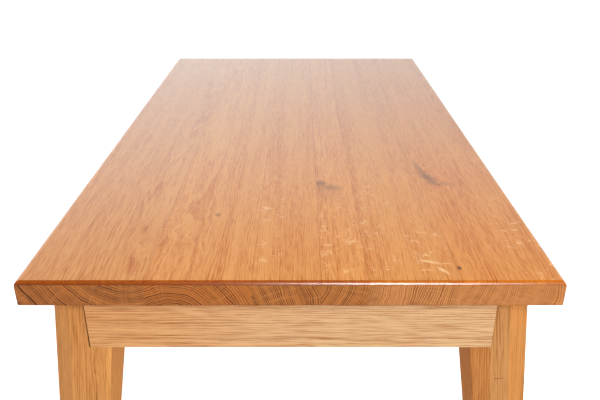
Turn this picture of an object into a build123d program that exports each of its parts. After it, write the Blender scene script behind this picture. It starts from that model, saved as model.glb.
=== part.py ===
from build123d import *

import os

# A solid oak dining table: an edge-glued top on four splayed, glued-up legs and four lapped aprons.
# X runs across the table, Y along it with the front end at -Y, and +Z is up. Millimetres.
# The origin is on the floor, under the middle of the top.

# The whole table
LENGTH = 1600
WIDTH = 900
HEIGHT = 750
HALF_LENGTH = LENGTH / 2
HALF_WIDTH = WIDTH / 2
ARRIS = 2  # the light rounding on every sawn edge

# The top: six boards glued edge to edge, with a round-over along the upper edges
TOP_THICKNESS = 45
TOP_ROUND = 8
BOARD_JOINTS = (-239, -63, 51, 128, 280)  # X of each glue line, left to right
UNDERSIDE = HEIGHT - TOP_THICKNESS

# The legs: square at the top, leaning outwards both ways, with the two inner faces tapered
OVERHANG = 34  # from the edge of the top to the leg's outer faces
SPLAY = 0.082  # how far the outer faces lean out for each millimetre down
TAPER = 0.055  # how much narrower the leg gets for each millimetre down
LEG_TOP = 117
FACET = 38  # width, along each outer face, of the flat planed on the outer corner
GLIDE_HEIGHT = 4
LEG_INNER_X = HALF_WIDTH - OVERHANG - LEG_TOP
LEG_INNER_Y = HALF_LENGTH - OVERHANG - LEG_TOP

# The aprons: boards that lap over the outer faces of the legs
APRON_SETBACK = 24
APRON_THICKNESS = 24
APRON_HEIGHT = 104
APRON_LAP = 52
APRON_BACK_X = HALF_WIDTH - APRON_SETBACK - APRON_THICKNESS
APRON_BACK_Y = HALF_LENGTH - APRON_SETBACK - APRON_THICKNESS
APRON_BOTTOM = UNDERSIDE - APRON_HEIGHT

# The groove in each apron, and the steel clips that hook into it and hold the top down
GROOVE_TOP = 12
GROOVE_HEIGHT = 3
GROOVE_DEPTH = 9
END_GROOVE = 330
SIDE_GROOVE = 1000
CLIP_THICKNESS = 2
CLIP_WIDTH = 20
CLIP_TONGUE = 8
CLIP_FLANGE = 26
CLIP_SCREW_REACH = 16
END_CLIPS = (-100, 100)
SIDE_CLIPS = (-420, -150, 150, 420)

# The cross rail between the side aprons
RAIL_THICKNESS = 28
RAIL_HEIGHT = 80
TENON_LENGTH = 16
TENON_THICKNESS = 12
TENON_HEIGHT = 46
TENON_BOTTOM = 640
RAIL_SCREWS = (-155, 155)
RAIL_COUNTERBORE = 40

# The corner blocks, let into the inner corner of each leg
BLOCK_THICKNESS = 32
BLOCK_HEIGHT = 80
BLOCK_BOTTOM = 622
BLOCK_SEAT = 20  # how far the leg's inner corner is cut back to take the block
BLOCK_SCREW_HEIGHTS = (636, 688)
BLOCK_SCREW_SEAT = 14  # wood left under each screw head
BOLT_HEIGHTS = (642, 682)

# Fixings
CLEARANCE = 0.1  # between a pin, screw or bolt and its hole, all round
DOWEL_RADIUS = 5
DOWEL_IN_APRON = 13
DOWEL_IN_LEG = 17
DOWEL_HEIGHTS = (636, 676)
BOLT_RADIUS = 4
BOLT_IN_LEG = 55
BOLT_TAIL = 46
WASHER_RADIUS = 12
WASHER_THICKNESS = 2
NUT_ACROSS_FLATS = 13
NUT_THICKNESS = 6.5
HOLE_SPARE = 1  # empty depth past the point of a screw
BLOCK_SCREW = {"length": 30, "radius": 2.5, "head_radius": 4.75, "head_height": 3.2}
CLIP_SCREW = {"length": 20, "radius": 2, "head_radius": 4.25, "head_height": 2.5}
RAIL_SCREW = {"length": 62, "radius": 2.5, "head_radius": 4.75, "head_height": 3}
GLIDE_SCREW = {"length": 24, "radius": 1.75, "head_radius": 3.5, "head_height": 2}

# The glides under the feet
GLIDE_RADIUS = 17
GLIDE_RECESS_RADIUS = 4.5
GLIDE_FLOOR = 1.6  # plastic left under the screw head
GLIDE_INSET = 4  # from the middle of the foot towards the inner corner

# The wooden parts are cut from shapes that run well past them
FAR = 2 * LENGTH

CORNERS = {
    "front_left": (-1, -1),
    "front_right": (1, -1),
    "back_left": (-1, 1),
    "back_right": (1, 1),
}

# How far in each leg's two glue lines lie from its outer side face. The staves are side by side
# across the table. Where the taper leaves an inner stave thinner than THIN_END, it stops.
STAVE_JOINTS = {
    "front_left": (41, 98),
    "front_right": (41, 75),
    "back_left": (41, 75),
    "back_right": (41, 98),
}
THIN_END = 3
BASE = (Align.CENTER, Align.CENTER, Align.MIN)
OUTWARDS = Vector(1, -1, 0).normalized()  # from the table's middle to its front right corner


# Shared shapes


def placed(shape, point, direction):
    """A shape drawn along +Z from the origin, moved to a point and turned along a direction."""
    return Plane(origin=point, z_dir=direction).location * shape


def rod(point, direction, radius, length):
    """A cylinder that starts at a point."""
    return placed(Cylinder(radius, length, align=BASE), point, direction)


def at_corner(shape, corner):
    """A shape made for the front right corner, mirrored to another corner."""
    side, end = CORNERS[corner]
    if side < 0:
        shape = mirror(shape, about=Plane.YZ)
    if end > 0:
        shape = mirror(shape, about=Plane.XZ)
    return shape


def at_every_corner(shapes):
    """Each shape made for the front right corner, once at each corner."""
    return [at_corner(shape, corner) for corner in CORNERS for shape in shapes]


def pan_head_screw(length, radius, head_radius, head_height):
    """A screw that points along +Z, with the underside of its head at the origin."""
    point = 2 * radius
    shank = Cylinder(radius, length - point, align=BASE)
    tip = Pos(0, 0, length - point) * Cone(radius, radius / 8, point, align=BASE)
    head = Pos(0, 0, -head_height) * Cylinder(head_radius, head_height, align=BASE)
    head = fillet(head.edges().group_by(Axis.Z)[0], head_height / 2)
    slot = Box(head_radius, head_radius / 4, head_height, align=(Align.CENTER, Align.CENTER, Align.CENTER))
    recess = Pos(0, 0, -head_height) * (slot + Rot(0, 0, 90) * slot)
    return head - recess + shank + tip


def screw_hole(screw, point, direction):
    """The clearance hole for the shank of a screw."""
    return rod(point, direction, screw["radius"] + CLEARANCE, screw["length"] + HOLE_SPARE)


def cut(shape, cutters):
    """A shape with every one of the cutters that reaches it taken away."""
    box = shape.bounding_box()
    near = [cutter for cutter in cutters if box.overlaps(cutter.bounding_box())]
    return shape - near if near else shape


# The top


def whole_top():
    """The top in one piece, with its edges rounded."""
    slab = Pos(0, 0, UNDERSIDE) * Box(WIDTH, LENGTH, TOP_THICKNESS, align=BASE)
    slab = fillet(slab.edges().filter_by(Axis.Z), ARRIS)
    slab = fillet(slab.edges().group_by(Axis.Z)[-1], TOP_ROUND)
    return fillet(slab.edges().group_by(Axis.Z)[0], ARRIS)


def top_boards(cutters):
    """The six boards, numbered from left to right."""
    top = cut(whole_top(), cutters)
    edges = (-HALF_WIDTH, *BOARD_JOINTS, HALF_WIDTH)
    boards = {}
    for number, (left, right) in enumerate(zip(edges, edges[1:]), start=1):
        strip = Pos((left + right) / 2, 0, UNDERSIDE) * Box(right - left, FAR, FAR, align=BASE)
        boards[f"top_board_{number}"] = top & strip
    return boards


# The legs, made for the front right corner


def leg_outline(z):
    """The leg's section at a height, as a flat face."""
    drop = UNDERSIDE - z
    x = HALF_WIDTH - OVERHANG + SPLAY * drop
    y = -(HALF_LENGTH - OVERHANG + SPLAY * drop)
    size = LEG_TOP - TAPER * drop
    points = [(x - size, y + size), (x - size, y), (x - FACET, y), (x, y + FACET), (x, y + size)]
    return Pos(0, 0, z) * make_face(Polyline(*points, close=True))


def leg_blank():
    """The leg before any joint is cut in it."""
    leg = loft([leg_outline(GLIDE_HEIGHT), leg_outline(UNDERSIDE)], ruled=True)
    uprights = leg.edges().filter_by(lambda edge: edge.length >= UNDERSIDE - GLIDE_HEIGHT)
    sole = leg.edges().group_by(Axis.Z)[0]
    return fillet(uprights + sole, ARRIS)


def stave_outline(z, first, last):
    """The section, at a height, of the wood between two depths below the leg's outer side face."""
    drop = UNDERSIDE - z
    x = HALF_WIDTH - OVERHANG + SPLAY * drop - (first + last) / 2
    y = -(HALF_LENGTH - OVERHANG + SPLAY * drop)
    return Pos(x, y, z) * Rectangle(last - first, 4 * LEG_TOP)


def stave_space(first, last, bottom):
    """The space between two depths below the leg's outer side face, from a height to the top."""
    return loft([stave_outline(z, first, last) for z in (bottom, UNDERSIDE)], ruled=True)


def leg_staves(joints, cutters):
    """The outer, middle and inner staves of one leg, cut for their joints."""
    blank = cut(leg_blank(), cutters)
    first, second = joints
    foot = UNDERSIDE - (LEG_TOP - second - THIN_END) / TAPER
    outer = blank & stave_space(-LEG_TOP, first, 0)
    inner = blank & stave_space(second, 2 * LEG_TOP, max(foot, 0))
    return outer, blank - outer - inner, inner


def foot_middle():
    """The point on the sole of the front right leg where its glide is fixed."""
    drop = UNDERSIDE - GLIDE_HEIGHT
    inset = OVERHANG - SPLAY * drop + (LEG_TOP - TAPER * drop) / 2 + GLIDE_INSET
    return Vector(HALF_WIDTH - inset, inset - HALF_LENGTH, GLIDE_HEIGHT)


# The aprons and the rail


def end_board():
    """The front apron as a plain board, which is also the space that the legs are cut away for."""
    half = LEG_INNER_X + APRON_LAP
    middle = -(APRON_BACK_Y + APRON_THICKNESS / 2)
    return Pos(0, middle, APRON_BOTTOM) * Box(2 * half, APRON_THICKNESS, APRON_HEIGHT, align=BASE)


def side_board():
    """The right-hand apron as a plain board."""
    half = LEG_INNER_Y + APRON_LAP
    middle = APRON_BACK_X + APRON_THICKNESS / 2
    return Pos(middle, 0, APRON_BOTTOM) * Box(APRON_THICKNESS, 2 * half, APRON_HEIGHT, align=BASE)


def end_apron():
    """The front apron, with the groove for the clips in its back."""
    board = end_board()
    board = fillet(board.edges().filter_by(Axis.X).group_by(Axis.Z)[0], ARRIS)
    board = fillet(board.edges().filter_by(Axis.Z).group_by(Axis.Y)[0], ARRIS / 2)
    depth = -(APRON_BACK_Y + GROOVE_DEPTH / 2)
    groove = Box(END_GROOVE, GROOVE_DEPTH, GROOVE_HEIGHT, align=(Align.CENTER, Align.CENTER, Align.MAX))
    return board - Pos(0, depth, UNDERSIDE - GROOVE_TOP) * groove


def side_apron():
    """The right-hand apron, with its groove and the mortise for the rail."""
    board = side_board()
    board = fillet(board.edges().filter_by(Axis.Y).group_by(Axis.Z)[0], ARRIS)
    board = fillet(board.edges().filter_by(Axis.Z).group_by(Axis.X)[-1], ARRIS / 2)
    depth = APRON_BACK_X + GROOVE_DEPTH / 2
    groove = Box(GROOVE_DEPTH, SIDE_GROOVE, GROOVE_HEIGHT, align=(Align.CENTER, Align.CENTER, Align.MAX))
    board -= Pos(depth, 0, UNDERSIDE - GROOVE_TOP) * groove
    return board - tenons()


def tenons():
    """The two tenons of the rail, as one bar from end to end."""
    length = 2 * (APRON_BACK_X + TENON_LENGTH)
    return Pos(0, 0, TENON_BOTTOM) * Box(length, TENON_THICKNESS, TENON_HEIGHT, align=BASE)


def cross_rail(cutters):
    """The rail under the middle of the top."""
    bottom = UNDERSIDE - RAIL_HEIGHT
    rail = Pos(0, 0, bottom) * Box(2 * APRON_BACK_X, RAIL_THICKNESS, RAIL_HEIGHT, align=BASE)
    rail = fillet(rail.edges().filter_by(Axis.X).group_by(Axis.Z)[0], ARRIS)
    return cut(rail + tenons(), cutters)


# The corner blocks and their fixings, made for the front right corner


def block_seat(z):
    """The point on the block's outer face, against the leg, where a bolt crosses it."""
    return Vector(LEG_INNER_X, -LEG_INNER_Y, z) + OUTWARDS * BLOCK_SEAT


def corner_block():
    """The block before it is bored: a bar at 45 degrees, trimmed to the two aprons."""
    bar = Box(WIDTH, BLOCK_THICKNESS, BLOCK_HEIGHT, align=(Align.CENTER, Align.MIN, Align.MIN))
    bar = Pos(*block_seat(BLOCK_BOTTOM)) * Rot(0, 0, 45) * bar
    between = Box(2 * APRON_BACK_X, 2 * APRON_BACK_Y, FAR)
    block = bar & between
    return block.solids().sort_by(Axis.Y)[0]


def hanger_bolts():
    """The bolts that are screwed into the leg and pass through the block."""
    length = BOLT_IN_LEG + BOLT_TAIL
    tails = [block_seat(z) - OUTWARDS * BOLT_TAIL for z in BOLT_HEIGHTS]
    return [rod(tail, OUTWARDS, BOLT_RADIUS, length) for tail in tails]


def bolt_holes():
    """The holes for the hanger bolts, through the block and into the leg."""
    length = BOLT_IN_LEG + BOLT_TAIL + HOLE_SPARE
    tails = [block_seat(z) - OUTWARDS * BOLT_TAIL for z in BOLT_HEIGHTS]
    return [rod(tail, OUTWARDS, BOLT_RADIUS + CLEARANCE, length) for tail in tails]


def washers():
    """One washer on each bolt, against the block."""
    ring = Cylinder(WASHER_RADIUS, WASHER_THICKNESS, align=BASE)
    ring -= Cylinder(BOLT_RADIUS + CLEARANCE, WASHER_THICKNESS, align=BASE)
    inner = BLOCK_THICKNESS + WASHER_THICKNESS
    return [placed(ring, block_seat(z) - OUTWARDS * inner, OUTWARDS) for z in BOLT_HEIGHTS]


def nuts():
    """One nut on each bolt, against its washer."""
    flats = RegularPolygon(NUT_ACROSS_FLATS / 2, 6, major_radius=False)
    nut = extrude(flats, NUT_THICKNESS) - Cylinder(BOLT_RADIUS + CLEARANCE, NUT_THICKNESS, align=BASE)
    inner = BLOCK_THICKNESS + WASHER_THICKNESS + NUT_THICKNESS
    return [placed(nut, block_seat(z) - OUTWARDS * inner, OUTWARDS) for z in BOLT_HEIGHTS]


def block_screw_places():
    """Where the screws that hold the block to the two aprons sit, and the way each one points."""
    across = (2**0.5) * BLOCK_THICKNESS / 2
    seat = block_seat(0)
    end_x = seat.X - (seat.Y + APRON_BACK_Y) - across
    side_y = seat.Y + (APRON_BACK_X - seat.X) + across
    places = []
    for z in BLOCK_SCREW_HEIGHTS:
        places.append((Vector(end_x, BLOCK_SCREW_SEAT - APRON_BACK_Y, z), Vector(0, -1, 0)))
        places.append((Vector(APRON_BACK_X - BLOCK_SCREW_SEAT, side_y, z), Vector(1, 0, 0)))
    return places


def counterbore(screw, point, direction, depth):
    """The wide hole that lets a screw head in, from its seat back towards the driver."""
    radius = screw["head_radius"] + CLEARANCE
    return rod(point, direction * -1, radius, depth)


# The lap joints, the clips and the glides


def dowel_places():
    """Where each dowel of the front right corner starts, and the way it points, out of the table."""
    lap = APRON_LAP / 2
    places = []
    for z in DOWEL_HEIGHTS:
        places.append((Vector(LEG_INNER_X + lap, DOWEL_IN_LEG - APRON_BACK_Y, z), Vector(0, -1, 0)))
        places.append((Vector(APRON_BACK_X - DOWEL_IN_LEG, -(LEG_INNER_Y + lap), z), Vector(1, 0, 0)))
    return places


def dowels(spare):
    """The dowels of the front right corner, or their holes when they have spare room round them."""
    length = DOWEL_IN_APRON + DOWEL_IN_LEG
    places = dowel_places()
    return [rod(point, direction, DOWEL_RADIUS + spare, length) for point, direction in places]


def clip_places():
    """Where each clip meets its apron at the top's underside, and the way its flange points."""
    places = []
    for x in END_CLIPS:
        places.append((Vector(x, -APRON_BACK_Y, UNDERSIDE), Vector(0, 1, 0)))
        places.append((Vector(x, APRON_BACK_Y, UNDERSIDE), Vector(0, -1, 0)))
    for y in SIDE_CLIPS:
        places.append((Vector(-APRON_BACK_X, y, UNDERSIDE), Vector(1, 0, 0)))
        places.append((Vector(APRON_BACK_X, y, UNDERSIDE), Vector(-1, 0, 0)))
    return places


def clip():
    """One bent steel clip at the origin: its flange points along +X, its tongue along -X."""
    tongue_top = -GROOVE_TOP
    tongue_bottom = tongue_top - CLIP_THICKNESS
    points = [
        (-CLIP_TONGUE, tongue_bottom),
        (CLIP_THICKNESS, tongue_bottom),
        (CLIP_THICKNESS, -CLIP_THICKNESS),
        (CLIP_FLANGE, -CLIP_THICKNESS),
        (CLIP_FLANGE, 0),
        (0, 0),
        (0, tongue_top),
        (-CLIP_TONGUE, tongue_top),
    ]
    profile = Plane.XZ * make_face(Polyline(*points, close=True))
    bent = extrude(profile, CLIP_WIDTH / 2, both=True)
    start = Vector(CLIP_SCREW_REACH, 0, -GROOVE_TOP)
    return bent - rod(start, Vector(0, 0, 1), CLIP_SCREW["radius"] + CLEARANCE, GROOVE_TOP)


def clips():
    """All the clips, each turned to point away from its apron."""
    turned = []
    for point, direction in clip_places():
        turned.append(Plane(origin=point, x_dir=direction, z_dir=(0, 0, 1)).location * clip())
    return turned


def clip_screw_points():
    """Where the underside of each clip screw's head sits."""
    down = Vector(0, 0, CLIP_THICKNESS)
    return [point + direction * CLIP_SCREW_REACH - down for point, direction in clip_places()]


def rail_screw_points():
    """Where the underside of each rail screw's head sits."""
    z = UNDERSIDE - RAIL_HEIGHT + RAIL_COUNTERBORE
    return [Vector(x, 0, z) for x in RAIL_SCREWS]


def foot_glide():
    """One plastic glide, with a recess in its sole for the screw's head."""
    sole = foot_middle() - Vector(0, 0, GLIDE_HEIGHT)
    glide = Cylinder(GLIDE_RADIUS, GLIDE_HEIGHT, align=BASE)
    glide = fillet(glide.edges().group_by(Axis.Z)[0], 1)
    glide -= Cylinder(GLIDE_SCREW["radius"] + CLEARANCE, GLIDE_HEIGHT, align=BASE)
    glide -= Cylinder(GLIDE_RECESS_RADIUS, GLIDE_HEIGHT - GLIDE_FLOOR, align=BASE)
    return Pos(*sole) * glide


# The whole table


def build_table():
    """Every node by name."""
    up = Vector(0, 0, 1)
    block_places = block_screw_places()
    clip_points = clip_screw_points()
    rail_points = rail_screw_points()
    glide_point = foot_middle() - up * GLIDE_FLOOR

    dowel_holes = dowels(CLEARANCE)
    bolt_cutters = bolt_holes()
    block_screw_holes = [screw_hole(BLOCK_SCREW, *place) for place in block_places]
    block_counterbores = [counterbore(BLOCK_SCREW, *place, BLOCK_THICKNESS) for place in block_places]
    rail_holes = [screw_hole(RAIL_SCREW, point, up) for point in rail_points]
    rail_counterbores = [counterbore(RAIL_SCREW, point, up, RAIL_COUNTERBORE) for point in rail_points]
    clip_holes = [screw_hole(CLIP_SCREW, point, up) for point in clip_points]
    glide_hole = screw_hole(GLIDE_SCREW, glide_point, up)

    nodes = top_boards(clip_holes + rail_holes)

    end = end_apron()
    side = side_apron()
    block = corner_block()
    apron_cutters = at_every_corner(dowel_holes + block_screw_holes)
    nodes["end_apron_front"] = cut(end, apron_cutters)
    nodes["end_apron_back"] = cut(mirror(end, about=Plane.XZ), apron_cutters)
    nodes["side_apron_left"] = cut(mirror(side, about=Plane.YZ), apron_cutters)
    nodes["side_apron_right"] = cut(side, apron_cutters)
    nodes["cross_rail"] = cross_rail(rail_holes + rail_counterbores)

    leg_cutters = [end_board(), side_board(), block, glide_hole]
    leg_cutters += dowel_holes + bolt_cutters
    for corner in CORNERS:
        staves = leg_staves(STAVE_JOINTS[corner], leg_cutters)
        for place, stave in zip(("outer", "middle", "inner"), staves):
            nodes[f"leg_{corner}_{place}_stave"] = at_corner(stave, corner)
        bored = cut(block, bolt_cutters + block_screw_holes + block_counterbores)
        nodes[f"corner_block_{corner}"] = at_corner(bored, corner)
        nodes[f"foot_glide_{corner}"] = at_corner(foot_glide(), corner)

    screws = [placed(pan_head_screw(**BLOCK_SCREW), *place) for place in block_places]
    nodes["corner_block_screws"] = at_every_corner(screws)
    nodes["hanger_bolts"] = at_every_corner(hanger_bolts())
    nodes["bolt_washers"] = at_every_corner(washers())
    nodes["bolt_nuts"] = at_every_corner(nuts())
    nodes["apron_dowels"] = at_every_corner(dowels(0))
    nodes["top_clips"] = clips()
    nodes["top_clip_screws"] = [Pos(*point) * pan_head_screw(**CLIP_SCREW) for point in clip_points]
    nodes["rail_screws"] = [Pos(*point) * pan_head_screw(**RAIL_SCREW) for point in rail_points]
    nodes["glide_screws"] = at_every_corner([Pos(*glide_point) * pan_head_screw(**GLIDE_SCREW)])
    return nodes


def write_nodes(nodes):
    """One STEP file for each node."""
    os.makedirs("parts", exist_ok=True)
    for name, shape in nodes.items():
        solids = shape if isinstance(shape, list) else [shape]
        pieces = [solid for group in solids for solid in group.solids()]
        whole = pieces[0] if len(pieces) == 1 else Compound(pieces)
        export_step(whole, f"parts/{name}.step")


write_nodes(build_table())
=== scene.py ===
import math

import bpy
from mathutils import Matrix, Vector


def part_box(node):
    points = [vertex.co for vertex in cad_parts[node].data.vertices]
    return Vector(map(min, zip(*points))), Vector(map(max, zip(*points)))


# The looks of a solid oak table: lacquered oak in three dimensions, so that the rings on an end
# grain run on as the figure of the face beside it. Metres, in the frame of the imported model.

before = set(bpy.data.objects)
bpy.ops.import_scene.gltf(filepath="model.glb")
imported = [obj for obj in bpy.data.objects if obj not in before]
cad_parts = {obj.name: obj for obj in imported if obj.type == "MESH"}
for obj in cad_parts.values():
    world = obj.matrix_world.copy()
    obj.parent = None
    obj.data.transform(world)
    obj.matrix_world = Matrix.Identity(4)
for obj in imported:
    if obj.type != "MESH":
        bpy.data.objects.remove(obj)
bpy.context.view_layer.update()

# Places that everything else is worked out from
TOP_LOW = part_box("top_board_1")[0]
TOP_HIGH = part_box("top_board_6")[1]
FRONT = TOP_LOW.y
TOP = TOP_HIGH.z
UNDERSIDE = TOP_LOW.z
LEAN = 0.082  # how far a leg leans out, each way, for each metre down

# The camera
CAMERA_SIDE = 0.016  # to the right of the table's middle
CAMERA_BACK = 0.896  # in front of the top's front end
CAMERA_ABOVE = 0.568  # above the top's surface
CAMERA_PITCH = math.radians(25.13)
CAMERA_LENS = 39.0  # millimetres, on the usual 36 mm sensor

# The floor that shows, and the hidden plane under it that lights the table
FLOOR_SIZE = 60
FLOOR_PATCHES = 3  # patches of the two greys in a metre
FLOOR_DARKER = 0.97  # the darker grey, as a share of the paler one
FLOOR_GREY = 0.85
FLOOR_GLOW = 0.75
FLOOR_ROUGH = 0.9
# Painted contact shade: ambient occlusion darkens the floor round each foot
CONTACT_REACH = 0.10  # how far round a foot the floor is darker
BOUNCE_DEPTH = 0.002  # how far the hidden plane lies below the floor
BOUNCE_GREY = 0.62
BOUNCE_GLOW = 0.38

# The backdrop that the lacquer mirrors, up to the heights between which the ceiling takes over
BACKDROP = 1.62
CEILING = 0.17
CEILING_FROM = (0.36, 0.56)

# How the backdrop changes along each axis: how far to either side of the middle the change
# reaches, and the factor at its low and at its high end
BACKDROP_SLOPES = (
    ("X", 0.4, 1.35, 0.80),  # brighter on the left
    ("Y", 1.0, 0.20, 1.05),  # dim behind the camera, bright beyond the table
    ("Z", 0.01, 0.05, 1.0),  # dark below the horizon
)

# The lamps: their power in watts, and places from the middle of the top's front edge
KEY = 58.0
SHINE = 300.0  # the key's softbox, as the lacquer mirrors it
OVERHEAD = 14.0
RIGHT_FILL = 10.0
LEFT_FILL = 9.0
BACK_FILL = 60.0
SOFTBOX_PLACE = Vector((0.60, -2.30, 1.85))
OVERHEAD_PLACE = Vector((0.1, -0.3, 1.6))

# The pale and the dark wood of a year's growth
TOP_OAK = ((0.73, 0.315, 0.085, 1), (0.46, 0.100, 0.002, 1))
LEG_OAK = ((0.63, 0.275, 0.078, 1), (0.35, 0.115, 0.020, 1))
APRON_OAK = ((0.71, 0.445, 0.230, 1), (0.40, 0.150, 0.045, 1))
INNER_OAK = ((0.60, 0.370, 0.180, 1), (0.33, 0.170, 0.065, 1))

# What other colours are multiplied by
PLAIN = (1, 1, 1, 1)
END_TONE = (0.72, 0.58, 0.44, 1)  # all of an end grain
END_RING = (0.10, 0.030, 0.006, 1)  # the open wood of each year on an end grain
END_BAND = (0.10, 0.04, 0.02, 1)  # broader darker bands on it
END_RAY = (0.95, 0.86, 0.90, 1)  # the fine pale lines on it
EDGE_TONE = (0.54, 0.28, 0.06, 1)  # where a rounded edge cuts the fibres at a slant
STEEP_TONE = (0.60, 0.58, 0.60, 1)  # the steepest part of that edge
HEARTWOOD = (0.98, 0.79, 0.59, 1)
GLUE_LINE = (0.82, 0.70, 0.58, 1)

# What marks in the wood, and the painted shade of a gap, are mixed with
FLECK = (0.86, 0.54, 0.25, 1)
KNOT = (0.15, 0.042, 0.012, 1)
# The colour of the painted shade of a gap beside the front apron
SHADOW_GAP = (0.020, 0.008, 0.003, 1)
KNOT_DEPTH = 0.03  # how deep into the top a mark goes
MARK_EDGE = (1.6, 0.3)  # where a mark starts and where it is full, in its own half sizes

# How dark the wood is before any grain, and how much each kind of grain darkens it
BASE_SHADE = 0.06
YEAR_SHADE = 0.45
PORE_SHADE = 0.40
PORE_EDGE = (0.02, 0.14)  # the levels of noise at which a pore starts and is full

# Layers of noise in the wood: width across the grain, length along it, and a shift that keeps the
# layer apart from the others
PORES = (0.0009, 0.010, 1.7)
RELIEF = (0.0014, 0.026, 5.3)
FLECK_BREAKS = (0.020, 0.022, 27.0)
BANDS = (0.012, 0.30, 43.0)
RAGGED = (0.006, 0.012, 51.0)  # the outline of a mark
CURL = (0.024, 0.055, 61.0)
HEART_EDGE = (0.030, 0.40, 77.0)
HEART_STRAY = 0.3  # how far the edge of the heartwood strays with its noise
CURL_EDGE = (1.0, 0.2)  # where a curl starts and where it is full, in its own half sizes

# Streaks of the grain: width, length, amount. Each one's shift is its width in millimetres.
MILLIMETRES = 1000
FINE_STREAKS = ((0.0013, 0.028, 1.75), (0.0032, 0.070, 1.1), (0.020, 0.60, 0.8))

# How the rings stray from true circles: width and length of the waves, how far they stray with the
# figure of the wood, and how far they stray in any wood
WAVES = (
    (0.30, 1.10, 0.050, 0.0),
    (0.070, 0.26, 0.014, 0.0),
    (0.030, 0.18, 0.006, 0.0),
    (0.014, 0.10, 0.0, 0.0026),
)
WAVES_SHIFT = 3.1

# The years: how often their widths change for each metre from the pith and by how many rings, how
# often their vigour changes, and where in a year the open wood starts and stops
WIDTH_CHANGES = 60.0
WIDTH_STRAY = 4.0
VIGOUR_CHANGES = 110.0
VIGOUR_SHIFT = 9.0
VIGOUR = (0.35, 0.65, 0.3, 1.0)  # the noise where it is least and most, and how much it then is
OPEN_START = (0.0, 0.08)
SOFT_STOP = (0.85, 0.15)
SHARP_STOP = (0.70, 0.30)

# Rays on an end grain: lines for each radian, breaks for each metre, where the noise is a line
RAYS_ROUND = 95.0
RAYS_OUT = 14.0
RAY_EDGE = (0.56, 0.70)
RAY_SHARE = 0.30

# Rays cut lengthwise: width and length of their winding, a shift, and where the noise is a line
FLECK_SIZE = (0.030, 0.020)
FLECK_SHIFT = 21.0
FLECK_LINE = (0.030, 0.010)
FLECK_BROKEN = (0.02, 0.08)
FLECK_ZONE_EDGE = (1.2, 0.5)  # where a zone starts and where it is full, in its own half sizes

# How square to the grain a face is, from 0 to 1, where each look starts and where it is full
EDGE_SLANT = (0.01, 0.22)
STEEP_SLANT = (0.60, 0.88)
END_SLANT = (0.92, 1.0)

# The surface: how high the relief is and how strongly it shows, and how much rougher the lacquer
# is in the pores, and again on an end grain
RELIEF_HEIGHT = 0.0001
RELIEF_STRENGTH = 0.2
ROUGHER = 0.15

# The seed that each kind of piece counts from, and the step from one piece to the next
SEEDS = {
    "board": (0, 11.3),
    "apron": (70, 9.1),
    "stave": (120, 7.3),
    "inner": (230, 5.9),
    "dowel": (300, 0),
}


# Shader nodes


class Tree:
    """A new material whose nodes are added one call at a time. Each call returns an output socket."""

    def __init__(self, name):
        self.material = bpy.data.materials.new(name)
        self.material.use_nodes = True
        self.nodes = self.material.node_tree.nodes
        self.links = self.material.node_tree.links
        self.nodes.clear()

    def feed(self, socket, value):
        """Link a socket, or set its value."""
        if isinstance(value, bpy.types.NodeSocket):
            self.links.new(value, socket)
        else:
            socket.default_value = value

    def math(self, operation, *values, clamp=False):
        node = self.nodes.new("ShaderNodeMath")
        node.operation = operation
        node.use_clamp = clamp
        for socket, value in zip(node.inputs, values):
            self.feed(socket, value)
        return node.outputs[0]

    def vector(self, operation, *values):
        node = self.nodes.new("ShaderNodeVectorMath")
        node.operation = operation
        for socket, value in zip(node.inputs, values):
            self.feed(socket, value)
        scalar = operation in ("DOT_PRODUCT", "LENGTH", "DISTANCE")
        return node.outputs["Value" if scalar else "Vector"]

    def combine(self, x, y, z):
        node = self.nodes.new("ShaderNodeCombineXYZ")
        for socket, value in zip(node.inputs, (x, y, z)):
            self.feed(socket, value)
        return node.outputs[0]

    def noise(self, vector, detail=2.0, roughness=0.5):
        """Noise about 0.5, with features one unit across."""
        node = self.nodes.new("ShaderNodeTexNoise")
        self.feed(node.inputs["Vector"], vector)
        node.inputs["Scale"].default_value = 1.0
        node.inputs["Detail"].default_value = detail
        node.inputs["Roughness"].default_value = roughness
        return node.outputs[0]

    def step(self, value, low, high, to_low=0.0, to_high=1.0):
        """A smooth step from to_low to to_high, as the value goes from low to high."""
        node = self.nodes.new("ShaderNodeMapRange")
        node.interpolation_type = "SMOOTHSTEP"
        ends = {"Value": value, "From Min": low, "From Max": high, "To Min": to_low, "To Max": to_high}
        for name, number in ends.items():
            self.feed(node.inputs[name], number)
        return node.outputs[0]

    def mix(self, factor, first, second, blend="MIX"):
        node = self.nodes.new("ShaderNodeMix")
        node.data_type = "RGBA"
        node.blend_type = blend
        self.feed(node.inputs[0], factor)
        self.feed(node.inputs[6], first)
        self.feed(node.inputs[7], second)
        return node.outputs[2]

    def shade(self, factor, colour, by):
        """The colour multiplied by another one, as far as the factor says."""
        return self.mix(factor, colour, by, "MULTIPLY")

    def bump(self, height, distance, strength=1.0):
        node = self.nodes.new("ShaderNodeBump")
        self.feed(node.inputs["Height"], height)
        node.inputs["Distance"].default_value = distance
        node.inputs["Strength"].default_value = strength
        return node.outputs[0]

    def place(self):
        """Where the shaded point is in the row frame, in metres."""
        return self.nodes.new("ShaderNodeTexCoord").outputs["Object"]

    def mottle(self, patches, detail=2.0):
        """Noise about 0.5, even in all directions, with this many patches in a metre."""
        return self.noise(self.vector("MULTIPLY", self.place(), (patches, patches, patches)), detail=detail)

    def surface(self, **inputs):
        """The shader and the output. Names are the shader's sockets, with underscores for spaces."""
        shader = self.nodes.new("ShaderNodeBsdfPrincipled")
        output = self.nodes.new("ShaderNodeOutputMaterial")
        for name, value in inputs.items():
            self.feed(shader.inputs[name.replace("_", " ")], value)
        self.links.new(shader.outputs[0], output.inputs["Surface"])
        return self.material


def rgb(red, green, blue):
    return (red, green, blue, 1.0)


def seed_for(kind, number=0):
    first, step = SEEDS[kind]
    return first + step * number


# Oak


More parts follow.
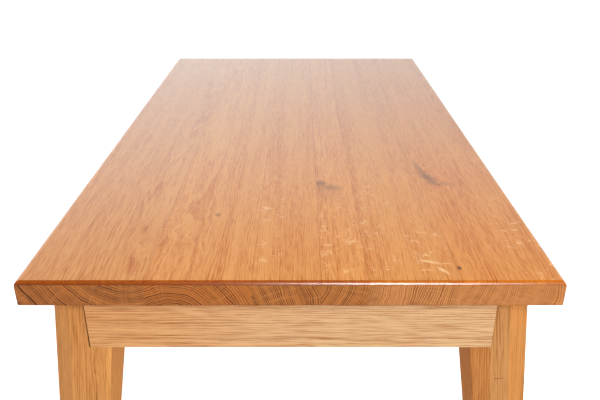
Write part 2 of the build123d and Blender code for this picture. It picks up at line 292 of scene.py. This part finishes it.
class Wood(Tree):
    """The material of one piece of oak, in the piece's own directions.

    along is the direction of the grain, and pith is a point on the middle of the tree. Everything
    is worked out in three dimensions, so what shows on one face runs on over the edge to the next.
    """

    def __init__(self, name, along, pith, seed, stretch=1.0, curls=()):
        super().__init__(name)
        self.seed = seed
        self.stretch = stretch
        along = Vector(along).normalized()
        helper = Vector((0, 1, 0)) if abs(along.z) > 0.9 else Vector((0, 0, 1))
        across = along.cross(helper).normalized()
        axes = [tuple(axis) for axis in (across, across.cross(along), along)]
        offset = self.vector("SUBTRACT", self.place(), tuple(pith))
        self.a, self.b, self.c = (self.vector("DOT_PRODUCT", offset, axis) for axis in axes)
        for centre, sizes, amount in curls:
            near = self.step(self.spot(centre, sizes), *CURL_EDGE)
            swirl = self.math("MULTIPLY", self.streaks(*CURL), amount)
            self.a = self.math("MULTIPLY_ADD", near, swirl, self.a)
        self.radius = self.vector("LENGTH", self.combine(self.a, self.b, 0.0))
        normal = self.nodes.new("ShaderNodeNewGeometry").outputs["Normal"]
        self.normal = [self.vector("DOT_PRODUCT", normal, axis) for axis in axes]

    def streaks(self, width, length, shift, detail=1.0):
        """Noise from -0.5 to 0.5, this wide across the grain and this long along it.

        shift is any number that keeps one layer of noise apart from the others.
        """
        scale = (1 / width, 1 / width, 1 / (length * self.stretch))
        place = self.vector("MULTIPLY", self.combine(self.a, self.b, self.c), scale)
        place = self.vector("ADD", place, (self.seed + shift, shift - self.seed, 1.7 * self.seed))
        return self.math("SUBTRACT", self.noise(place, detail=detail), 0.5)

    def spot(self, centre, sizes, turn=0.0, ragged=0.9):
        """How far from a spot in the row frame, counted in its own half sizes."""
        offset = self.vector("SUBTRACT", self.place(), tuple(centre))
        width, length, depth = sizes
        right = (math.cos(turn) / width, math.sin(turn) / width, 0)
        ahead = (-math.sin(turn) / length, math.cos(turn) / length, 0)
        away = [self.vector("DOT_PRODUCT", offset, axis) for axis in (right, ahead, (0, 0, 1 / depth))]
        distance = self.vector("LENGTH", self.combine(*away))
        return self.math("MULTIPLY_ADD", self.streaks(*RAGGED), ragged, distance)

    def wander(self, figure):
        """The distance from the pith, bent as a real tree's is."""
        bent = self.radius
        for number, (width, length, figured, plain) in enumerate(WAVES):
            amount = figured * figure + plain
            bent = self.math("MULTIPLY_ADD", self.streaks(width, length, WAVES_SHIFT + number), amount, bent)
        return bent

    def years(self, ring, bent):
        """The open early wood of each year, soft as it looks lengthwise and sharp as on an end."""
        uneven = self.noise(self.combine(self.math("MULTIPLY", bent, WIDTH_CHANGES), self.seed, 0.0))
        count = self.math("MULTIPLY_ADD", uneven, WIDTH_STRAY, self.math("DIVIDE", bent, ring))
        phase = self.math("FRACT", count)
        out = self.math("MULTIPLY", bent, VIGOUR_CHANGES)
        vigour = self.noise(self.combine(out, self.seed + VIGOUR_SHIFT, 0.0))
        start = self.math("MULTIPLY", self.step(phase, *OPEN_START), self.step(vigour, *VIGOUR))
        soft = self.math("MULTIPLY", start, self.step(phase, *SOFT_STOP))
        sharp = self.math("MULTIPLY", start, self.step(phase, *SHARP_STOP))
        return soft, sharp

    def end_rays(self):
        """Fine pale lines that run out from the pith on an end grain."""
        angle = self.math("ARCTAN2", self.a, self.b)
        turned = self.math("MULTIPLY", angle, RAYS_ROUND)
        out = self.math("MULTIPLY", self.radius, RAYS_OUT)
        return self.step(self.noise(self.combine(turned, out, self.seed), detail=1.0), *RAY_EDGE)

    def flecks(self, zones):
        """Rays cut lengthwise: winding pale lines, thickest on the ground in some zones."""
        width, length = FLECK_SIZE
        scale = (1 / width, 1 / width, 1 / length)
        place = self.vector("MULTIPLY", self.combine(self.a, self.b, self.c), scale)
        place = self.vector("ADD", place, (self.seed, FLECK_SHIFT + self.seed, 0.0))
        field = self.math("SUBTRACT", self.noise(place, detail=1.5), 0.5)
        line = self.step(self.math("ABSOLUTE", field), *FLECK_LINE)
        broken = self.step(self.streaks(*FLECK_BREAKS), *FLECK_BROKEN)
        shown = 0.0
        for centre, sizes, amount in zones:
            zone = self.step(self.spot(centre, sizes), *FLECK_ZONE_EDGE, 0.0, amount)
            shown = self.math("MAXIMUM", zone, shown)
        return self.math("MULTIPLY", line, self.math("MULTIPLY", broken, shown))


def oak(
    name,
    along,
    pith,
    shades,
    seed,
    ring=0.0034,
    grain=1.0,
    figure=1.0,
    stretch=1.0,
    gloss=1.42,
    rough=0.20,
    tone=PLAIN,
    end_tone=END_TONE,
    end_ring=END_RING,
    edge_tone=EDGE_TONE,
    curls=(),
    knots=(),
    flecks=(),
    patches=(),
):
    """Lacquered oak between a pale and a dark shade.

    ring is the usual width of a year's growth, grain is how strongly the grain shows, figure is how
    far the rings stray, stretch is how long the streaks are, and gloss is the lacquer's IOR. curls,
    knots and flecks are spots, each a centre, half sizes and a strength. patches are colours that
    the wood is multiplied by, each with a function that says how much.
    """
    wood = Wood(name, along, pith, seed, stretch, curls)
    bent = wood.wander(figure)
    soft, sharp = wood.years(ring, bent)
    slant = wood.math("ABSOLUTE", wood.normal[2])
    end = wood.step(slant, *END_SLANT)
    edge = wood.step(slant, *EDGE_SLANT)

    # How dark the wood is
    pores = wood.math("MULTIPLY", wood.step(wood.streaks(*PORES), *PORE_EDGE), soft)
    shade = wood.math("MULTIPLY_ADD", soft, YEAR_SHADE * grain, BASE_SHADE)
    shade = wood.math("MULTIPLY_ADD", pores, PORE_SHADE * grain, shade)
    for width, length, amount in FINE_STREAKS:
        layer = wood.streaks(width, length, MILLIMETRES * width)
        shade = wood.math("MULTIPLY_ADD", layer, amount * grain, shade)
    colour = wood.mix(wood.math("ADD", shade, 0.0, clamp=True), *shades)

    # Marks, and the ways it looks on a slant and on an end
    if flecks:
        colour = wood.mix(wood.flecks(flecks), colour, FLECK)
    for by, how_much in patches:
        colour = wood.shade(how_much(wood), colour, by)
    rays = wood.math("MULTIPLY", wood.end_rays(), RAY_SHARE)
    banded = wood.shade(wood.streaks(*BANDS, detail=2.0), end_tone, END_BAND)
    cross_cut = wood.mix(rays, wood.shade(sharp, banded, end_ring), END_RAY)
    colour = wood.shade(edge, colour, edge_tone)
    colour = wood.shade(wood.step(slant, *STEEP_SLANT), colour, STEEP_TONE)
    colour = wood.mix(end, colour, wood.shade(1.0, shades[0], cross_cut))
    colour = wood.shade(1.0, colour, tone)
    for centre, sizes, turn, strength, mark in knots:
        halo = wood.step(wood.spot(centre, sizes, turn), *MARK_EDGE)
        colour = wood.mix(wood.math("MULTIPLY", halo, strength), colour, mark)

    rough = wood.math("MULTIPLY_ADD", pores, ROUGHER, rough)
    rough = wood.math("MULTIPLY_ADD", end, ROUGHER, rough)
    height = wood.math("SUBTRACT", wood.streaks(*RELIEF), pores)
    relief = wood.bump(height, RELIEF_HEIGHT, RELIEF_STRENGTH)
    return wood.surface(Base_Color=colour, Roughness=rough, IOR=gloss, Normal=relief)


def paint(node, material):
    """Give a CAD node its finish."""
    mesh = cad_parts[node].data
    mesh.materials.clear()
    mesh.materials.append(material)


LENGTHWISE = (0, 1, 0)
CROSSWISE = (1, 0, 0)


def on_top(x, y, width, length):
    """The centre and the half sizes of a spot on the upper side, y back from the front end."""
    return (x, FRONT + y, TOP), (width, length, KNOT_DEPTH)


# Where the middle of the tree was for each board of the top: X, and height above the floor
BOARD_PITHS = ((-0.26, 0.865), (-0.20, 0.66), (-0.25, 0.64), (0.005, 0.755), (0.00, 0.765), (0.20, 0.775))

# What each board's colours are multiplied by: all of it, its rounded edge, its end grain and the
# open wood on that
BOARD_TONES = (
    rgb(0.96, 0.97, 1.05),
    rgb(1.02, 1.03, 1.05),
    rgb(1.00, 0.98, 0.95),
    rgb(1.03, 1.01, 0.97),
    rgb(1.00, 0.98, 0.93),
    rgb(1.00, 0.93, 0.82),
)
EDGE_TONES = (EDGE_TONE, EDGE_TONE, EDGE_TONE, EDGE_TONE, rgb(0.78, 0.52, 0.14), rgb(0.88, 0.62, 0.18))
END_TONES = (
    rgb(0.66, 0.49, 0.32),
    rgb(0.70, 0.49, 0.25),
    rgb(0.66, 0.52, 0.36),
    rgb(0.64, 0.51, 0.36),
    rgb(0.80, 0.75, 0.82),
    rgb(0.78, 0.76, 0.86),
)

END_RINGS = (END_RING, END_RING, END_RING, END_RING, rgb(0.34, 0.22, 0.12), rgb(0.50, 0.38, 0.26))

# Knots and the largest fleck by board: the centre and half sizes, turn, strength, colour
KNOTS = {
    2: [(*on_top(-0.145, 0.246, 0.005, 0.007), 0.0, 0.6, KNOT)],
    4: [
        (*on_top(0.060, 0.402, 0.012, 0.013), 0.0, 0.62, KNOT),
        (*on_top(0.080, 0.380, 0.026, 0.015), -0.4, 0.36, KNOT),
        (*on_top(0.075, 0.352, 0.030, 0.040), 0.0, 0.15, KNOT),
    ],
    5: [
        (*on_top(0.238, 0.066, 0.018, 0.004), -0.35, 0.75, FLECK),
        (*on_top(0.256, 0.037, 0.013, 0.0035), -0.95, 0.85, FLECK),
    ],
    6: [
        (*on_top(0.289, 0.480, 0.006, 0.050), 0.15, 0.50, KNOT),
        (*on_top(0.299, 0.428, 0.013, 0.032), 0.30, 0.62, KNOT),
        (*on_top(0.324, 0.398, 0.030, 0.010), -0.1, 0.28, KNOT),
        (*on_top(0.284, 0.046, 0.0032, 0.006), 0.0, 1.0, KNOT),
    ],
}

# Curly grain by board: the centre and half sizes, how far the fibres stray
CURLS = {
    1: [(*on_top(-0.262, 0.150, 0.050, 0.14), 0.042)],
    2: [(*on_top(-0.205, 0.200, 0.060, 0.16), 0.058)],
    4: [(*on_top(0.080, 0.360, 0.050, 0.10), 0.050)],
    6: [(*on_top(0.300, 0.430, 0.060, 0.12), 0.060), (*on_top(0.30, 0.05, 0.03, 0.05), 0.040)],
}

# Ray flecks by board: the centre and half sizes of each zone, strength
FLECKS = {
    3: [(*on_top(-0.045, 0.22, 0.035, 0.24), 0.55)],
    4: [(*on_top(0.090, 0.16, 0.050, 0.20), 0.50), (*on_top(0.10, 1.03, 0.03, 0.12), 0.5)],
    5: [(*on_top(0.160, 0.20, 0.040, 0.26), 0.50), (*on_top(0.245, 0.12, 0.040, 0.16), 0.80)],
    6: [(*on_top(0.420, 0.16, 0.045, 0.20), 0.55)],
}


# How far from a board's edge its glue line fades out and is full, and far enough away to have none
GLUE_FADE = (0.0012, 0.0004)
NO_GLUE = 1.0


def glue_lines(left, right):
    """A thin darker line along a board's long edges, which are at these two X."""

    def how_much(wood):
        x = wood.vector("DOT_PRODUCT", wood.place(), (1, 0, 0))
        from_edges = (wood.math("SUBTRACT", x, left), wood.math("SUBTRACT", right, x))
        return wood.step(wood.math("MINIMUM", *from_edges), *GLUE_FADE)

    return (GLUE_LINE, how_much)


def paint_top():
    last = len(BOARD_PITHS)
    for number, (x, z) in enumerate(BOARD_PITHS, start=1):
        node = f"top_board_{number}"
        low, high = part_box(node)
        left = low.x - NO_GLUE if number == 1 else low.x
        right = high.x + NO_GLUE if number == last else high.x
        marks = {
            "knots": KNOTS.get(number, ()),
            "curls": CURLS.get(number, ()),
            "flecks": FLECKS.get(number, ()),
            "patches": [glue_lines(left, right)],
        }
        tones = {
            "tone": BOARD_TONES[number - 1],
            "edge_tone": EDGE_TONES[number - 1],
            "end_tone": END_TONES[number - 1],
            "end_ring": END_RINGS[number - 1],
        }
        seed = seed_for("board", number)
        paint(node, oak(f"oak_{node}", LENGTHWISE, (x, 0, z), TOP_OAK, seed, **tones, **marks))


def heart(start, full):
    """Redder heartwood, all of it at one X and none of it at another."""

    def how_much(wood):
        x = wood.vector("DOT_PRODUCT", wood.place(), (1, 0, 0))
        uneven = wood.math("MULTIPLY_ADD", wood.streaks(*HEART_EDGE), HEART_STRAY, x)
        return wood.step(uneven, start, full)

    return (HEARTWOOD, how_much)


APRONS = ("end_apron_front", "end_apron_back", "side_apron_left", "side_apron_right")
APRON_WOOD = {"ring": 0.0024, "grain": 1.2, "figure": 0.6, "stretch": 1.6, "gloss": 1.30, "rough": 0.35}
APRON_HEART = (0.10, -0.36)
PITH_ACROSS = 0.09  # from an apron's middle, towards the back or the right, to its tree's middle
PITH_DOWN = 0.055


def paint_aprons():
    for number, node in enumerate(APRONS):
        low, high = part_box(node)
        middle = (low + high) / 2
        if node.startswith("end"):
            grain = CROSSWISE
            pith = middle + Vector((0, PITH_ACROSS, -PITH_DOWN))
            patches = [heart(*APRON_HEART)]
        else:
            grain = LENGTHWISE
            pith = middle + Vector((PITH_ACROSS, 0, -PITH_DOWN))
            patches = ()
        seed = seed_for("apron", number)
        paint(node, oak(f"oak_{node}", grain, pith, APRON_OAK, seed, patches=patches, **APRON_WOOD))


# The painted shade of a gap beside the front apron: its X under the top, how X changes with height, and the
# distances from its middle at which it fades out and is full
GAP_X = -0.3542
GAP_SLOPE = -0.020
GAP_FADE = (0.0014, 0.0004)
GAP_END = 0.001  # how softly it stops at the apron's lower edge


def painted_gap_shade(wood):
    """Where the painted shade of a gap lies beside the left end of the front apron, down to the apron's
    lower edge.
    """
    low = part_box("end_apron_front")[0]
    x, z = (wood.vector("DOT_PRODUCT", wood.place(), axis) for axis in ((1, 0, 0), (0, 0, 1)))
    line = wood.math("MULTIPLY_ADD", wood.math("SUBTRACT", z, UNDERSIDE), GAP_SLOPE, GAP_X)
    near = wood.step(wood.math("ABSOLUTE", wood.math("SUBTRACT", x, line)), *GAP_FADE)
    return wood.math("MULTIPLY", near, wood.step(z, low.z - GAP_END, low.z + GAP_END))


# Colours of the staves that differ from the rest
STAVE_TONES = {
    "leg_front_left_inner_stave": rgb(1.14, 1.18, 1.16),
    "leg_front_right_inner_stave": rgb(0.86, 0.78, 0.72),
    "leg_front_right_middle_stave": rgb(0.90, 0.95, 1.06),
    "leg_front_right_outer_stave": rgb(1.05, 1.00, 0.88),
    "leg_back_left_middle_stave": rgb(0.92, 0.94, 1.00),
    "leg_back_right_inner_stave": rgb(0.90, 0.84, 0.80),
}

STAVE_WOOD = {"ring": 0.0026, "stretch": 1.3, "gloss": 1.26, "rough": 0.35}
STAVE_PITH = Vector((-0.05, 0.03, 0))  # the middle of the tree, from a stave's left back edge
# A short crack in the front right leg, as a knot, and curly grain in the front left one
LEG_CHECK = ((0.370, FRONT + 0.020, 0.536), (0.009, 0.02, 0.0012), 0.0, 0.5, KNOT)
LEG_CURL = ((-0.335, FRONT + 0.020, 0.54), (0.030, 0.05, 0.09), 0.020)


def paint_legs():
    number = 0
    for end, y_side in (("front", -1), ("back", 1)):
        for side, x_side in (("left", -1), ("right", 1)):
            grain = Vector((x_side * LEAN, y_side * LEAN, -1))
            for place in ("outer", "middle", "inner"):
                number += 1
                node = f"leg_{end}_{side}_{place}_stave"
                low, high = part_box(node)
                pith = Vector((low.x, high.y, UNDERSIDE)) + STAVE_PITH
                marks = {"tone": STAVE_TONES.get(node, PLAIN)}
                if node == "leg_front_right_middle_stave":
                    marks["knots"] = [LEG_CHECK]
                if node == "leg_front_left_middle_stave":
                    marks["curls"] = [LEG_CURL]
                if (end, side) == ("front", "left"):
                    # Painted shade of a gap beside the front apron's left end, on this leg
                    marks["patches"] = [(SHADOW_GAP, painted_gap_shade)]
                seed = seed_for("stave", number)
                paint(node, oak(f"oak_{node}", grain, pith, LEG_OAK, seed, **STAVE_WOOD, **marks))


INNER_PITH = Vector((0, 0, -0.12))  # from the middle of a block or the rail


def paint_hidden_oak():
    nodes = sorted(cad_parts)
    blocks = [node for node in nodes if node.startswith("corner_block_") and not node.endswith("screws")]
    for number, node in enumerate([*blocks, "cross_rail"]):
        low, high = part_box(node)
        middle = (low + high) / 2
        grain = CROSSWISE
        if node in blocks:
            grain = Vector((math.copysign(1, -middle.x * middle.y), 1, 0))
        paint(node, oak(f"oak_{node}", grain, middle + INNER_PITH, INNER_OAK, seed_for("inner", number)))


def zinc(name):
    """Bright zinc plate on steel, a little mottled."""
    tree = Tree(name)
    mottle = tree.mottle(900, detail=3.0)
    colour = tree.mix(tree.step(mottle, 0.3, 0.7), rgb(0.52, 0.53, 0.55), rgb(0.66, 0.66, 0.64))
    rough = tree.step(mottle, 0.3, 0.7, 0.28, 0.42)
    return tree.surface(Base_Color=colour, Metallic=1.0, Roughness=rough, Normal=tree.bump(mottle, 0.00005))


def nylon(name):
    """Moulded brown nylon with a fine grain."""
    tree = Tree(name)
    grain = tree.mottle(1500)
    colour = tree.mix(grain, rgb(0.055, 0.032, 0.018), rgb(0.085, 0.052, 0.032))
    rough = tree.step(grain, 0.3, 0.7, 0.45, 0.60)
    return tree.surface(Base_Color=colour, Roughness=rough, Normal=tree.bump(grain, 0.00008))


def paint_fittings():
    steel, plastic = zinc("zinc_plate"), nylon("brown_nylon")
    beech = oak("beech", (1, 1, 0), (0, 0, 0), INNER_OAK, seed_for("dowel"), ring=0.002, grain=0.3)
    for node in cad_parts:
        if node.startswith("foot_glide"):
            paint(node, plastic)
        elif node == "apron_dowels":
            paint(node, beech)
        elif node.endswith(("screws", "bolts", "washers", "nuts", "clips")):
            paint(node, steel)


# The stage


def make_camera():
    data = bpy.data.cameras.new("camera")
    data.lens = CAMERA_LENS
    camera = bpy.data.objects.new("camera", data)
    camera.location = (CAMERA_SIDE, FRONT - CAMERA_BACK, TOP + CAMERA_ABOVE)
    camera.rotation_euler = (math.pi / 2 - CAMERA_PITCH, 0, 0)
    bpy.context.scene.collection.objects.link(camera)
    bpy.context.scene.camera = camera


def plane(name, height, grey, glow, contact=False):
    """A wide, nearly even grey plane that glows. With contact, painted contact shade from ambient occlusion
    darkens it close to what stands on it.
    """
    bpy.ops.mesh.primitive_plane_add(size=FLOOR_SIZE, location=(0, 0, height))
    floor = bpy.context.object
    floor.name = name
    tree = Tree(name)
    darker = FLOOR_DARKER * grey
    colour = tree.mix(tree.mottle(FLOOR_PATCHES), rgb(grey, grey, grey), rgb(darker, darker, darker))
    if contact:
        # Painted contact shade: ambient occlusion darkens the floor's colour and its glow near the feet
        occlusion = tree.nodes.new("ShaderNodeAmbientOcclusion")
        occlusion.inputs["Distance"].default_value = CONTACT_REACH
        open_sky = occlusion.outputs["AO"]
        colour = tree.shade(1.0, colour, open_sky)
        glow = tree.math("MULTIPLY", open_sky, glow)
    light = {"Emission_Color": rgb(1, 1, 1), "Emission_Strength": glow}
    floor.data.materials.append(tree.surface(Base_Color=colour, Roughness=FLOOR_ROUGH, **light))
    one_sided(tree)
    return floor


def one_sided(tree):
    """Let the underside be seen through, so that the floor hides nothing from below."""
    output = next(node for node in tree.nodes if node.type == "OUTPUT_MATERIAL")
    shader = output.inputs["Surface"].links[0].from_socket
    chosen = tree.nodes.new("ShaderNodeMixShader")
    tree.links.new(tree.nodes.new("ShaderNodeNewGeometry").outputs["Backfacing"], chosen.inputs[0])
    tree.links.new(shader, chosen.inputs[1])
    tree.links.new(tree.nodes.new("ShaderNodeBsdfTransparent").outputs[0], chosen.inputs[2])
    tree.links.new(chosen.outputs[0], output.inputs["Surface"])


def make_floor():
    """A bright floor for the camera, and a grey one that the table is lit by."""
    seen = plane("floor", 0, FLOOR_GREY, FLOOR_GLOW, contact=True)
    seen.visible_diffuse = False
    seen.visible_glossy = False
    seen.visible_shadow = False
    bounce = plane("bounce", -BOUNCE_DEPTH, BOUNCE_GREY, BOUNCE_GLOW)
    bounce.visible_camera = False
    bounce.visible_glossy = False


def area_light(name, place, target, size, power, diffuse=True, glossy=True):
    data = bpy.data.lights.new(name, "AREA")
    data.shape = "RECTANGLE"
    data.size, data.size_y = size
    data.energy = power
    light = bpy.data.objects.new(name, data)
    light.location = place
    light.rotation_euler = (Vector(target) - Vector(place)).to_track_quat("-Z", "Y").to_euler()
    light.visible_diffuse = diffuse
    light.visible_glossy = glossy
    bpy.context.scene.collection.objects.link(light)


def ramp(nodes, *ends):
    """A node that turns one span of numbers into another, and stops at its ends."""
    node = nodes.new("ShaderNodeMapRange")
    for name, value in zip(("From Min", "From Max", "To Min", "To Max"), ends):
        node.inputs[name].default_value = value
    return node


def make_world():
    """A bright backdrop all round, low down, under a dim ceiling. It is brighter on the left.

    That is what the table mirrors. The camera itself sees plain white.
    """
    world = bpy.data.worlds.new("studio")
    world.use_nodes = True
    nodes, links = world.node_tree.nodes, world.node_tree.links
    background = nodes["Background"]
    background.inputs["Color"].default_value = rgb(1, 1, 1)
    split = nodes.new("ShaderNodeSeparateXYZ")
    links.new(nodes.new("ShaderNodeTexCoord").outputs["Generated"], split.inputs[0])
    height = ramp(nodes, *CEILING_FROM, BACKDROP, CEILING)
    height.interpolation_type = "SMOOTHSTEP"
    links.new(split.outputs["Z"], height.inputs["Value"])
    strength = height.outputs[0]
    for axis, reach, low, high in BACKDROP_SLOPES:
        side = ramp(nodes, -reach, reach, low, high)
        links.new(split.outputs[axis], side.inputs["Value"])
        product = nodes.new("ShaderNodeMath")
        product.operation = "MULTIPLY"
        links.new(strength, product.inputs[0])
        links.new(side.outputs[0], product.inputs[1])
        strength = product.outputs[0]
    seen = nodes.new("ShaderNodeMix")
    links.new(nodes.new("ShaderNodeLightPath").outputs["Is Camera Ray"], seen.inputs["Factor"])
    links.new(strength, seen.inputs["A"])
    seen.inputs["B"].default_value = 1.0
    links.new(seen.outputs["Result"], background.inputs["Strength"])
    bpy.context.scene.world = world


def make_lights():
    """A softbox in front, a lamp over the edge and low fills. Only the softbox shows in the lacquer."""
    edge = Vector((0.0, FRONT, TOP))
    softbox = edge + SOFTBOX_PLACE
    below_edge = (0, FRONT, 0.5)
    area_light("key", softbox, edge, (1.0, 0.9), KEY, glossy=False)
    area_light("shine", softbox, edge, (1.0, 1.6), SHINE, diffuse=False)
    area_light("overhead", edge + OVERHEAD_PLACE, edge, (1.2, 1.2), OVERHEAD, glossy=False)
    area_light("right_fill", (2.2, -1.3, 0.3), below_edge, (1.0, 0.5), RIGHT_FILL, glossy=False)
    area_light("left_fill", (-2.5, -1.2, 0.5), (0, FRONT, 0.6), (1.0, 1.0), LEFT_FILL, glossy=False)
    for side, x in (("left", -3.6), ("right", 3.6)):
        area_light(f"back_fill_{side}", (x, 1.6, 0.3), below_edge, (1.6, 0.6), BACK_FILL, glossy=False)


make_camera()
make_floor()
make_world()
make_lights()
paint_top()
paint_aprons()
paint_legs()
paint_hidden_oak()
paint_fittings()
bpy.context.scene.view_settings.view_transform = "Standard"
